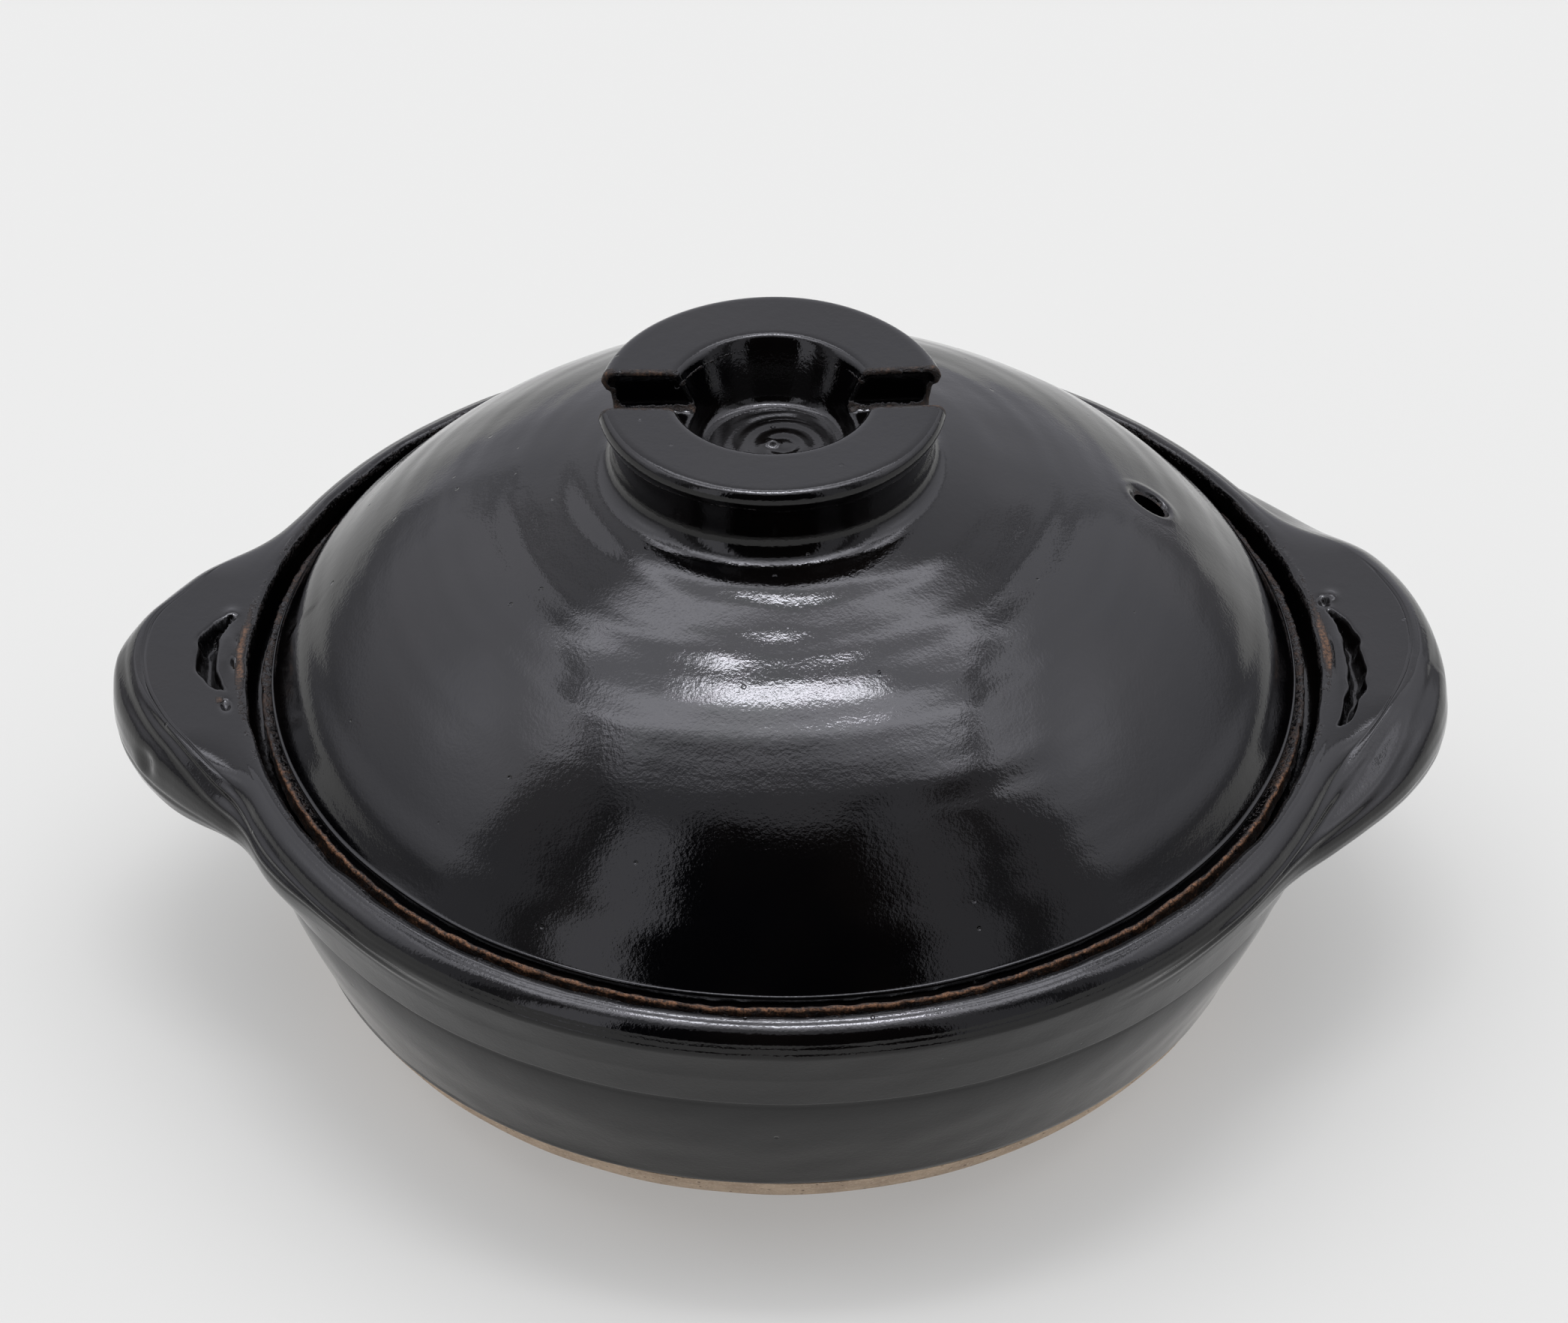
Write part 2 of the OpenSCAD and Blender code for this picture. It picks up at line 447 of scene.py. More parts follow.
def clay_material(name, pale, dark, fleck, grain_mm):
    """Unglazed clay: a mottled body with pale flecks and the pits of sand grains."""
    material, n, shader, where = new_material(name)
    body = n.mix(n.ramp(n.noise(where, 9, 4, 0.65), 0.3, 0.72), dark, pale)
    grain = n.noise(where, grain_mm, 4, 0.75)
    body = n.mix(n.ramp(grain, 0.50, 0.66, 0, 0.6), body, fleck)
    distance, chance = n.cells(where, 2.4 * grain_mm)
    sand = n.times(n.ramp(distance, 0.12, 0.26, 1, 0), n.math("GREATER_THAN", chance, 0.55))
    pit = tuple(0.4 * c for c in dark[:3]) + (1,)
    n.put(shader.inputs["Base Color"], n.mix(n.times(sand, 0.8), body, pit))
    n.put(shader.inputs["Roughness"], n.ramp(grain, 0.3, 0.8, 0.72, 0.92))
    surface = n.bump(grain, 0.22)
    surface = n.bump(n.times(sand, -1.0), 0.16, normal=surface)
    n.put(shader.inputs["Normal"], surface)
    return material


# ---------------------------------------------------------------- the pot

# Each lug in plan, in degrees towards the viewer: its middle, its spread to front and to rear,
# and how square it is at the front and at the rear.
LEFT_LUG = (-2.2, 21.0, 21.5, 2.35, 1.4)
RIGHT_LUG = (-4.0, 26.5, 32.0, 2.6, 1.85)
# The outer edge of each lug's flat top: its reach beyond its root, its middle, spread, squareness.
LEFT_TOP = (21.5, -3.0, 20.5, 2.4)
RIGHT_TOP = (19.5, -5.0, 18.0, 2.2)
LUG_ROOT_R = 121.0
MM_PER_DEGREE = 2.2
# How far a lug has to stand out of the collar to have its own full shape, in mm.
LUG_RISE = 10.5
# Where a lug's flat top starts, from 0 at the step to 1 at the rim's crest, and about how long
# that whole way is in mm.
PLATEAU = 0.80
COLLAR_WAY = 32

# What a thumb pressed beside the rim: one crescent (depth, then what crescent() asks for), and
# soft spots (height, then what spot() asks for). Last, the spots rubbed bare of glaze.
LEFT_PRESS = (5.0, -6.4, 6.0, 123.0, 126.0, 130.8, 1.0)
LEFT_SPOTS = [(0.9, -0.5, 124.2, 7.0, 1.5), (0.7, -6.8, 125.0, 1.6, 1.4),
              (-1.2, 1.6, 121.7, 2.2, 0.7), (-0.9, -2.4, 121.6, 1.5, 0.6),
              (-1.5, 8.5, 124.0, 1.5, 0.9)]
LEFT_BARE = [(0.95, 7.6, 125.3, 1.5, 1.2), (0.75, 0, 120.9, 15, 0.9)]
RIGHT_PRESS = (4.8, -8.0, 12.0, 122.8, 125.0, 129.2, 0.9)
RIGHT_SPOTS = [(0.9, 1.0, 123.6, 11, 1.1), (0.8, -9.8, 125.4, 1.4, 1.2),
               (-2.0, -9.0, 123.4, 1.3, 1.1), (-0.9, -0.6, 121.3, 8.5, 0.8)]
RIGHT_BARE = [(0.9, -0.6, 121.4, 8.0, 1.0), (0.5, -4, 120.7, 14, 0.7)]


def lug_swell(front, plan):
    """How far a lug has swelled out, 0 to 1, at an angle of front degrees towards the viewer."""
    middle, to_front, to_rear, square_front, square_rear = plan
    u = front - middle
    spread = np.where(u > 0, to_front, to_rear)
    return np.exp(-(np.abs(u) / spread)**np.where(u > 0, square_front, square_rear))


def lug_top_edge(front, plan):
    """How far beyond its root the outer edge of a lug's flat top is, in mm."""
    reach, middle, spread, square = plan
    return reach * np.exp(-(np.abs(front - middle) / spread)**square)


def degrees_from(angles, middle):
    """Signed degrees from a middle direction."""
    return np.degrees((angles - middle + math.pi) % TURN - math.pi)


def rolled(start, arcs):
    """Points along a run of arcs from a start. Each arc is (tilt of its surface at its start, at
    its end, length), where a tilt of 90 faces straight up, 0 outwards and below 0 downwards."""
    step = 0.1
    points = [np.array(start, float)]
    for tilt_a, tilt_b, length in arcs:
        n = max(2, int(round(length / step)))
        for tilt in np.radians(tilt_a + (tilt_b - tilt_a) * (np.arange(n) + 0.5) / n):
            points.append(points[-1] + length / n * np.array([math.sin(tilt), -math.cos(tilt)]))
    return np.array(points)


def collar_section(along):
    """The plain collar's (radius, height) at 0 (the step) to 1 (the crest of the rim)."""
    roll = rolled((RIM_R + 1.1, RIM_Z - 0.15),
                  [(90, 67, 0.6), (67, 62, 0.4), (62, 57, 0.3), (57, 67, 0.4),
                   (67, 62, 0.4), (62, 49, 1.5), (49, 21, 2.3), (21, 16, 2.6), (16, -9, 0.7)])
    widest = roll[-1]
    lip = np.array([STEP_R + 2.1, STEP_Z + 2.2])
    side = spaced(join(widest, widest + (lip - widest) * 0.5 + (0.25, 0), lip), 0.6)
    under = rolled(lip, [(-20, -95, 0.45), (-95, -60, 2.0)])
    line = join(roll, side[1:], under[1:])[::-1]
    at = np.concatenate([[0], np.cumsum(np.linalg.norm(np.diff(line, axis=0), axis=1))])
    at /= at[-1]
    return np.interp(along, at, line[:, 0]), np.interp(along, at, line[:, 1])


def lug_section(along):
    """The lug's height, how far back its underside is from its outline in mm, and how far in its
    upper side has come, from 0 at the outline to 1 at the outer edge of its flat top."""
    # Each knot: how far along, height, back, inwards.
    knots = np.array([
        (0.00, 0.0, 28.0, 0), (0.08, 0.0, 22.0, 0), (0.16, 0.3, 14.0, 0), (0.22, 1.2, 8.6, 0),
        (0.28, 3.0, 4.4, 0), (0.34, 5.6, 1.8, 0), (0.40, 8.6, 0.6, 0), (0.46, 11.8, 0.1, 0),
        (0.52, 15.2, 0.0, 0.02), (0.57, 18.2, 0.0, 0.08), (0.62, 20.8, 0.0, 0.20),
        (0.66, 22.4, 0.0, 0.34), (0.70, 23.7, 0.0, 0.51), (0.74, 24.8, 0.0, 0.70),
        (0.77, 25.4, 0.0, 0.85), (PLATEAU, 25.7, 0.0, 1.0), (1, 25.7, 0.0, 1.0)])
    fine = np.linspace(0, 1, 400)
    window = np.hanning(13)
    window /= window.sum()
    half = len(window) // 2
    out = []
    for column in knots.T[1:]:
        v = np.interp(fine, knots[:, 0], column)
        padded = np.concatenate([2 * v[0] - v[half:0:-1], v, 2 * v[-1] - v[-2:-half - 2:-1]])
        out.append(np.interp(along, fine, np.convolve(padded, window, "valid")))
    return out


def crescent(front, r, start, end, ends, inner, outer, soft):
    """1 inside a crescent on a lug's top, seen from above, 0 outside it. Its two ends are at the
    radius ends; in its middle it runs from the radius inner to the radius outer."""
    middle, half = (start + end) / 2, (end - start) / 2
    bow = np.sqrt(np.maximum(0, 1 - ((front - middle) / half)**2))
    jag = 0.45 * wobble(flat(front * MM_PER_DEGREE), 3.2, 71)
    far = ends + (outer - ends) * bow + jag
    near = ends + (inner - ends) * bow**1.5 + 0.6 * jag
    return smooth(0, 2.4 * soft, far - r) * smooth(0, soft, r - near) * smooth(0, 0.35, bow)


def spot(front, r, at_front, at_r, long, wide):
    """A soft oval spot on a lug: long round the pot and wide across, in mm."""
    around = (front - at_front) * MM_PER_DEGREE
    return np.exp(-(around / long)**2 - ((r - at_r) / wide)**2)


def lug_top_marks(left, right, r):
    """Height added to the lugs' tops by the press marks beside the rim, and how bare they are."""
    height, bare = 0.0, 0.0
    for front, press, spots, rubbed in ((left, LEFT_PRESS, LEFT_SPOTS, LEFT_BARE),
                                        (right, RIGHT_PRESS, RIGHT_SPOTS, RIGHT_BARE)):
        height = height - press[0] * crescent(front, r, *press[1:])
        for amount, *place in spots:
            height = height + amount * spot(front, r, *place)
        for amount, *place in rubbed:
            bare = bare + amount * spot(front, r, *place)
    return height, bare


def turn_angles():
    """Directions round the pot, closer together over the lugs."""
    t = np.linspace(0, TURN, 4000, endpoint=False)
    near = bump(np.abs(np.cos(t)), 1.0, 0.30)
    share = np.cumsum(1 + 1.1 * near)
    return np.interp(np.arange(TURNS) / TURNS, np.concatenate([[0], share / share[-1]]),
                     np.concatenate([t, [TURN]]))


def bowl_below():
    """The bowl's outline from the axis under its floor, out and up to the step, and how many of
    its points the base hides."""
    under = cubic((0, FLOOR_T - 1.2), (FOOT_R + 4, FLOOR_T - 1.2),
                  (BORDER_R - WALL_T - 5, BORDER_Z - 8), (BORDER_R - 5, BORDER_Z - 0.4), 24)
    border = join((BORDER_R - 0.1, BORDER_Z - 0.2), (BORDER_R + 0.18, BORDER_Z + 0.15),
                  (BORDER_R + 0.42, BORDER_Z + 0.8))
    wall = cubic((BORDER_R + 0.42, BORDER_Z + 0.8), (BORDER_R + 3.9, BORDER_Z + 10),
                 (STEP_R - 1.2, STEP_Z - 10.2), (STEP_R, STEP_Z - 0.8), 30)
    return join(under, border, wall[1:]), len(under)


def bowl_inside():
    """The bowl's outline from the rim's crest, over the ledge for the lid and down to the axis."""
    inner_edge = join((RIM_R + 0.15, RIM_Z - 0.35), (RIM_R - 0.2, RIM_Z - 0.75),
                      (RIM_R - 0.45, RIM_Z - 1.4), (RIM_R - 0.5, RIM_Z - 2.1))
    ledge = join((RIM_R - 0.5, RIM_Z - 3.0), (RIM_R - 0.7, SEAT_Z + 2.2),
                 (RIM_R - 1.4, SEAT_Z + 0.4), (RIM_R - 2.3, SEAT_Z), (SEAT_IN + 0.8, SEAT_Z),
                 (SEAT_IN + 0.1, SEAT_Z - 0.8), (SEAT_IN - 0.6, SEAT_Z - 5))
    wall = cubic((STEP_R - WALL_T, STEP_Z), (STEP_R - WALL_T - 1.6, STEP_Z - 13),
                 (BORDER_R - WALL_T + 5, BORDER_Z + 7), (BORDER_R - WALL_T, BORDER_Z), 16)
    floor = cubic((BORDER_R - WALL_T, BORDER_Z), (BORDER_R - WALL_T - 5, BORDER_Z - 6.5),
                  (FOOT_R + 4, FLOOR_T), (0, FLOOR_T), 34)
    return join(inner_edge, spaced(ledge, 1.0), wall, floor[1:])


def draw_out_lugs(r, z, along, left, right):
    """Swells the collar out into both lugs, in its own r and z. Returns for each turn how many
    degrees it is from the nearer side towards the viewer, how many mm it stands out, and how
    much of it is a lug, 0 to 1."""
    collar_r, collar_z = collar_section(along)
    height, back, inwards = lug_section(along)
    edge = int(np.argmin(np.abs(along - PLATEAU)))
    on_right = right**2 < left**2
    front = np.where(on_right, right, left)
    outline = (LUG_ROOT_R + lug_swell(left, LEFT_LUG) * (LUG_TIP + BOWL_X - LUG_ROOT_R)
               + lug_swell(right, RIGHT_LUG) * (LUG_TIP - BOWL_X - LUG_ROOT_R))
    top_edge = LUG_ROOT_R + 0.5 + np.where(on_right, lug_top_edge(right, RIGHT_TOP),
                                           lug_top_edge(left, LEFT_TOP))
    top_edge = smin(top_edge, outline - 4.0 - 2.5 * smooth(0, -12, front), 2.0)
    lug_r = outline[:, None] - back + (top_edge - outline)[:, None] * inwards
    # The collar bulges in front of the left lug before the lug itself starts.
    r += 2.8 * bump(left, 28, 12)[:, None] * bump(along, 0.45, 0.42)
    r[...] = smax(r, lug_r, 3.0)
    # The flat top runs straight in from its outer edge to the rim's crest.
    across = (collar_r[edge] - collar_r[edge:]) / (collar_r[edge] - collar_r[-1])
    r[:, edge:] = r[:, edge:edge + 1] + (collar_r[-1] - r[:, edge:edge + 1]) * across
    out = r[:, edge] - collar_r[edge]
    taken = smooth(0, LUG_RISE, out)[:, None]
    z += taken * (LUG_LOW + height - collar_z)
    return front[:, None], out[:, None], taken


def work_lugs(r, z, along, angles, left, front, taken):
    """Thrown and pinched detail on the lugs, in the collar's own r and z: a bead along the top
    edge, a valley below it, a crease low on the side, folds in front, and a runny spot on the
    left. Returns how bare the bead and the sharpest fold are."""
    line = wobble(flat(angles * 60), 14, 61)[:, None]
    facing = smooth(-10, 4, front) * taken
    bead = bump(along - 0.012 * line, 0.775, 0.045) * facing
    valley = bump(along - 0.02 * line, 0.665, 0.075) * facing
    crease = bump(along - 0.015 * line, 0.44, 0.018) * smooth(-8, 2, front) * taken
    # The folds run on from each lug's top edge, down along the front of the collar.
    fold = along - PLATEAU + 0.0034 * (front - 10) - 0.012 * line
    run_on = smooth(4, 14, front) * (1 - smooth(36, 58, front))
    folds = run_on * (0.50 * bump(fold, 0.0, 0.034) - 0.55 * bump(fold, -0.058, 0.040)
                      + 0.35 * bump(fold, -0.115, 0.034) - 0.20 * bump(fold, -0.165, 0.03))
    way = along * COLLAR_WAY
    drip = spot(left, way, 10.5, 0.52 * COLLAR_WAY, 4.2, 3.4)
    crater = spot(left, way, 10.5, 0.52 * COLLAR_WAY, 2.4, 1.9)
    r += folds + 0.35 * bead - 0.8 * valley - 0.30 * crease + 0.9 * drip - 1.5 * crater
    brink = along - 0.004 * line
    z += (0.20 * bead + 0.55 * bump(brink, 0.792, 0.016) * smooth(2, 8, front) * taken
          - 0.40 * bump(brink, 0.812, 0.010) * smooth(-16, -10, front) * taken)
    return 0.20 * bead + 0.25 * bump(fold, 0.0, 0.02) * run_on


def body_grid():
    """grid[turn, along] and wear of the whole glazed bowl, from the axis under its floor, out
    and up its wall, over the collar and lugs, down the gallery and back over the inner floor."""
    angles = turn_angles()
    right = -degrees_from(angles, 0.0)
    left = degrees_from(angles, math.pi)
    lower, hidden = bowl_below()
    along = np.concatenate([np.linspace(0, PLATEAU, 78), np.linspace(PLATEAU, 1, 54)[1:]])
    collar_r, collar_z = collar_section(along)
    upper = bowl_inside()
    blank = np.zeros((len(angles), 1))
    r = np.concatenate([lower[:, 0], collar_r, upper[:, 0]]) + blank
    z = np.concatenate([lower[:, 1], collar_z, upper[:, 1]]) + blank
    # Columns a to b are the collar, b is the first one inside the rim's crest.
    a, b = len(lower), len(lower) + len(along)
    band_r, band_z = r[:, a:b], z[:, a:b]
    front, out, taken = draw_out_lugs(band_r, band_z, along, left, right)
    bead_wear = work_lugs(band_r, band_z, along, angles, left[:, None], front, taken)
    marks, bare = lug_top_marks(left[:, None], right[:, None], band_r)
    on_top = (along > PLATEAU) * smooth(3, 8, out)
    band_z += marks * on_top

    ca, sa = np.cos(angles)[:, None], np.sin(angles)[:, None]
    leans = smooth(BORDER_Z, STEP_Z + 6, z)
    grid = np.stack([r * ca + BOWL_X * leans, r * sa + BOWL_Y * leans, z], 2)

    # Hand-made unevenness: slow for the whole pot, quicker on the lugs and along the rim.
    slow = wobble(grid, 60, 3)
    quick = wobble(grid, 13, 5)
    fine = wobble(grid, 4.5, 8)
    inner_edge = np.zeros(r.shape[1])
    inner_edge[b - 2:b + 6] = 1
    outside = np.zeros(r.shape[1])
    outside[hidden + 2:b + 2] = 1
    lugged = np.zeros_like(r)
    lugged[:, a:b] = taken * np.sin(np.pi * along)**0.5
    push = (0.20 * slow * outside + (0.08 + 0.45 * lugged) * quick * outside
            + 0.05 * fine * outside + 0.20 * fine * inner_edge)
    # Fine throwing lines round the collar just under its roll.
    lines = np.sin(band_z * 4.6 + 1.4 * slow[:, a:b]) * bump(collar_z, RIM_Z - 5.5, 2.6)
    push[:, a:b] += 0.035 * lines * (1 - taken)
    grid[..., 0] += push * ca
    grid[..., 1] += push * sa
    grid[..., 1] *= DEPTH_FIT
    # The rim rises and dips as it goes round, and takes the first columns inside it with it.
    dip = DIP_FRONT * smooth(0.35, 1, -sa)
    dip = dip + DIP_REAR * smooth(0.2, 1, sa) * smooth(-0.2, 0.8, -ca)
    lift = (0.18 * slow + 0.10 * quick)[:, a:b] - 0.2 - dip
    lift *= smooth(0.40, 0.75, along)
    grid[:, a:b, 2] += np.minimum(lift, RIM_Z - grid[:, a:b, 2] - 0.02)
    follows = slice(b, b + 12)
    fade = smooth(SEAT_Z + 1, RIM_Z - 2, z[:, follows])
    grid[:, follows, 2] += fade * lift[:, -1:]

    # The glaze is thin on the rim's crest, thinner on its inner edge, and in the press marks.
    wear = np.zeros_like(r)
    wear[:, b - 3:b + 1] = 0.34
    wear[:, b + 1:b + 4] = 0.46
    wear[:, a:b] += np.maximum(bare, 0.34 * smooth(0.8, 2.6, -marks)) * on_top
    wear[:, a:b] += bead_wear
    return grid, wear


def make_bowl(material):
    """The glazed part of the pot: wall, collar and lugs under one unbroken glaze."""
    grid, wear = body_grid()
    vertices, faces = turned_skin(grid)
    piece = new_piece("glazed_bowl", vertices, faces, material, skin_values(wear))
    face_outwards(piece)
    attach(piece, "pot")
    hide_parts("bowl_wall", "rim_collar", "left_lug", "right_lug")
    return piece


def make_base(material):
    """The bare clay below the glaze, with a shallow recess inside its foot."""
    angles = np.linspace(0, TURN, BASE_TURNS, endpoint=False)
    foot = join((0, 1.5), (FOOT_R - 30, 1.5), (FOOT_R - 14, 1.5), (FOOT_R - 12.6, 0.9),
                (FOOT_R - 11.6, 0.15), (FOOT_R - 10, 0), (FOOT_R - 3, 0))
    side = cubic((FOOT_R, 0.15), (FOOT_R + 14, 2), (BORDER_R - 4, BORDER_Z - 9),
                 (BORDER_R - 0.15, BORDER_Z - 0.1), 40)
    # Its upper side is hidden by the bowl, a little below the bowl's own underside.
    hidden = cubic((BORDER_R - 6, BORDER_Z - 0.9), (BORDER_R - WALL_T - 5, BORDER_Z - 8.5),
                   (FOOT_R + 4, FLOOR_T - BASE_TOP_GAP), (0, FLOOR_T - BASE_TOP_GAP), 20)
    profile = join(foot, side, hidden)
    grid = spin(profile, angles)
    shown = smooth(FOOT_R - 4, FOOT_R + 8, profile[:, 0])
    shown[len(foot) + len(side):] = 0
    rings = 0.12 * np.sin(profile[:, 1] * 2.3) * shown
    push = 0.10 * wobble(grid, 12, 21) * shown + rings - 0.12 * shown
    grid[..., 0] += push * np.cos(angles)[:, None]
    grid[..., 1] += push * np.sin(angles)[:, None]
    vertices, faces = turned_skin(grid)
    piece = new_piece("bare_base", vertices, faces, material)
    face_outwards(piece)
    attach(piece, "pot")
    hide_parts("base")
    return piece


# ---------------------------------------------------------------- the lid

DOME = cubic((0, CROWN_Z), (55, CROWN_Z), (DOME_R - 16, FLANGE_Z + 30), (DOME_R, FLANGE_Z), 400)


def dome_height(x, y):
    """Height of the dome's outer surface, with its throwing rings and soft dents."""
    r = np.hypot(x - DOME_X, y)
    turn = np.arctan2(y, x - DOME_X)
    here = flat(x, y)
    # Throwing rings wind slowly outwards as they go round, and get uneven near the edge.
    drift = r + 1.3 * turn / TURN + 0.8 * wobble(here, 45, 31)
    rings = 0.035 * np.sin(drift * TURN / 9.4 + 0.6) + 0.022 * np.sin(drift * TURN / 5.7)
    uneven = 1 + 2.2 * smooth(80, 96, r) * wobble(here, 30, 37)
    rings *= uneven * smooth(42, 56, r) * (1 - smooth(101, 105, r))
    # The last ring before the edge stands up, flatter on its inner side than its outer.
    edge_ring = smooth(103.2, 107.6, drift) * (1 - smooth(108.0, 111.0, drift))
    rings = rings + 0.62 * edge_ring * (1 - smooth(111.2, 112.4, r))
    dents = 0.33 * wobble(here, 26, 33) + 0.075 * wobble(here, 9, 34)
    dents *= smooth(40, 50, r) * (1 - smooth(100, 112, r))
    # An oval dent at the front, just below the ledge under the knob.
    dents = dents - 0.22 * bump(np.hypot(x / 2.2, y + 57), 0, 6.5)
    well = 0.17 * np.cos(r * TURN / 4.4 + 0.4 * np.sin(turn)) * (1 - smooth(11, 15, r))
    well *= smooth(1, 3, r)
    nipple = 1.3 * np.exp(-(np.hypot(x - KNOB_X, y - 0.3 * np.sin(2 * turn)) / 1.3)**2)
    # The slip that holds the knob ends in a ledge, clearest towards the viewer.
    ledge = -0.42 * smooth(43.5, 48.5, r + 0.5 * wobble(here, 11, 36)) * (1 - smooth(53, 76, r))
    ledge *= 0.45 + 0.55 * smooth(0.1, 0.7, -y / np.maximum(r, 1))
    return np.interp(r, DOME[:, 0], DOME[:, 1]) + rings + dents + well + nipple + ledge


def dome_grid(angles):
    """grid[turn, along] of the dome from its crown, over the lip and back under to the axis, and
    how many of its columns come before the lip."""
    stops = np.concatenate([np.arange(0, 16, 0.6), np.arange(16, 42, 2.0),
                            np.arange(42, 108, 0.9), np.arange(108, DOME_R - 0.5, 0.45)])
    outside = np.stack([stops, np.interp(stops, DOME[:, 0], DOME[:, 1])], 1)
    lip = join((DOME_R - 0.22, FLANGE_Z + 0.42), (DOME_R - 0.04, FLANGE_Z + 0.14),
               (DOME_R + 0.14, FLANGE_Z + 0.02), (DOME_R + 0.36, FLANGE_Z - 0.06),
               (DOME_R + 0.50, FLANGE_Z - 0.26), (DOME_R + 0.52, FLANGE_Z - 0.7),
               (DOME_R + 0.40, FLANGE_Z - 1.5), (DOME_R + 0.1, FLANGE_Z - 2.7))
    under = cubic((DOME_R - 7, FLANGE_Z), (DOME_R - 22, FLANGE_Z + 26),
                  (52, CROWN_Z - LID_T), (0, CROWN_Z - LID_T), 40)
    grid = spin(join(outside, lip, under), angles, DOME_X)
    n = len(outside)
    grid[:, 1:n, 2] = dome_height(grid[:, 1:n, 0], grid[:, 1:n, 1])
    on_lip = np.zeros(grid.shape[1])
    on_lip[n:n + len(lip)] = 1
    grid[..., 2] += 0.15 * wobble(grid, 14, 35) * on_lip
    grid[:, 0, 2] = dome_height(grid[:, 0, 0], grid[:, 0, 1])
    return grid, n


def soften_mouth(piece):
    """Makes the dome's mesh finer round the steam hole, and rounds its outer skin down into it."""
    work = bmesh.new()
    work.from_mesh(piece.data)
    centre = Vector((STEAM_XY[0] * MM, STEAM_XY[1] * MM, 0))
    above = 0.09

    def off(v):
        return (Vector((v.co.x, v.co.y, 0)) - centre).length / MM

    for reach in (9.0, 7.0):
        near = [e for e in work.edges if e.verts[0].co.z > above and
                (off(e.verts[0]) < reach or off(e.verts[1]) < reach)]
        bmesh.ops.subdivide_edges(work, edges=near, cuts=1, use_grid_fill=True)
    layer = work.verts.layers.float["wear"]
    for v in work.verts:
        d = off(v)
        if d < 8 and v.co.z > above and v.normal.z > 0:
            edge = 1 - float(smooth(STEAM_R, STEAM_R + 1.9, d))
            v.co.z -= (1.3 * edge**2 - 0.22 * float(bump(d, STEAM_R + 2.2, 1.8))) * MM
            thin = 0.62 * (1 - float(smooth(STEAM_R + 0.2, STEAM_R + 1.3, d)))
            v[layer] = max(v[layer], thin)
    work.to_mesh(piece.data)
    work.free()


def cut_steam_hole(piece, material):
    """Bores the steam hole straight down through the dome."""
    ring = [(STEAM_XY[0] + STEAM_R * math.cos(t), STEAM_XY[1] + STEAM_R * math.sin(t))
            for t in np.linspace(0, TURN, 72, endpoint=False)]
    vertices = [(x, y, height) for height in (85.0, 130.0) for x, y in ring]
    count = len(ring)
    faces = [tuple(range(count))[::-1], tuple(range(count, 2 * count))]
    faces += [(i, (i + 1) % count, count + (i + 1) % count, count + i) for i in range(count)]
    cutter = new_piece("steam_cutter", vertices, faces, material, np.full(len(vertices), 0.1))
    cut = piece.modifiers.new("steam_hole", "BOOLEAN")
    cut.object, cut.operation, cut.solver = cutter, "DIFFERENCE", "EXACT"
    apply_modifiers(piece)
    bpy.data.objects.remove(cutter)


def make_dome(material):
    """The glazed dome of the lid, with its steam hole."""
    angles = np.linspace(0, TURN, TURNS, endpoint=False)
    grid, shown = dome_grid(angles)
    # The glaze is thin where the lip turns over.
    wear = np.zeros(grid.shape[:2])
    wear[:, shown + 2:shown + 5] = 0.22
    vertices, faces = turned_skin(grid)
    piece = new_piece("lid_dome_glaze", vertices, faces, material, skin_values(wear))
    face_outwards(piece)
    soften_mouth(piece)
    cut_steam_hole(piece, material)
    piece.data.set_sharp_from_angle(angle=math.radians(50))
    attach(piece, "lid")
    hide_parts("lid_dome")
    return piece


def make_flange(material):
    """The lid's seat: glazed black on top, bare and toasted brown on its edge and underneath,
    with a painted highlight on its upper corner and painted shade down its outer face and all
    round the sides and rear.
    """
    angles = np.linspace(0, TURN, TURNS, endpoint=False)
    top = FLANGE_Z - 1.5
    outline = spaced(join((DOME_R - 6.6, top - 1.0), (DOME_R - 0.6, top - 0.9),
                          (FLANGE_R - 0.75, top), (FLANGE_R - 0.25, top - 0.2),
                          (FLANGE_R - 0.1, top - 0.9), (FLANGE_R - 0.15, FLANGE_LOW + 1.4),
                          (FLANGE_R - 0.6, FLANGE_LOW + 0.3), (FLANGE_R - 1.4, FLANGE_LOW),
                          (DOME_R - 4.6, FLANGE_LOW), (DOME_R - 5.2, FLANGE_LOW + 0.6)), 0.5)
    r, z = outline.T
    grid = spin(outline, angles, DOME_X)
    outer = smooth(DOME_R - 1, FLANGE_R - 1, r)
    rough = 0.16 * wobble(grid, 1.6, 41) + 0.15 * wobble(grid, 9, 42) - 0.12
    grid[..., 0] += rough * outer * np.cos(angles)[:, None]
    grid[..., 1] += rough * outer * np.sin(angles)[:, None]
    grid[..., 2] += outer * (z > FLANGE_Z - 4) * 0.12 * wobble(grid, 3.2, 43)
    vertices, faces = turned_ring(grid)
    bare = np.maximum(smooth(FLANGE_R - 1.3, FLANGE_R - 0.4, r),
                      1 - smooth(top - 1.2, top - 0.6, z))
    # Palest at the upper corner, a painted highlight, and darker down the outer face, painted
    # shade. Towards the viewer it stays bare and pale; at the sides and rear all of it is made
    # dark rust brown broken with black, painted shade of the narrow gap between lid and rim.
    bare *= 0.66 + 0.36 * bump(z, top - 0.1, 0.7)
    nearest = -np.sin(angles)[:, None]
    wear = bare * (0.5 + 0.5 * smooth(0.05, 0.45, nearest))
    wear = np.maximum(wear, 0.52 * (1 - smooth(0.35, 0.75, nearest)))
    piece = new_piece("lid_bare_edge_painted_light_and_shade", vertices, faces, material, wear)
    face_outwards(piece)
    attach(piece, "lid")
    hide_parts("lid_flange")
    return piece


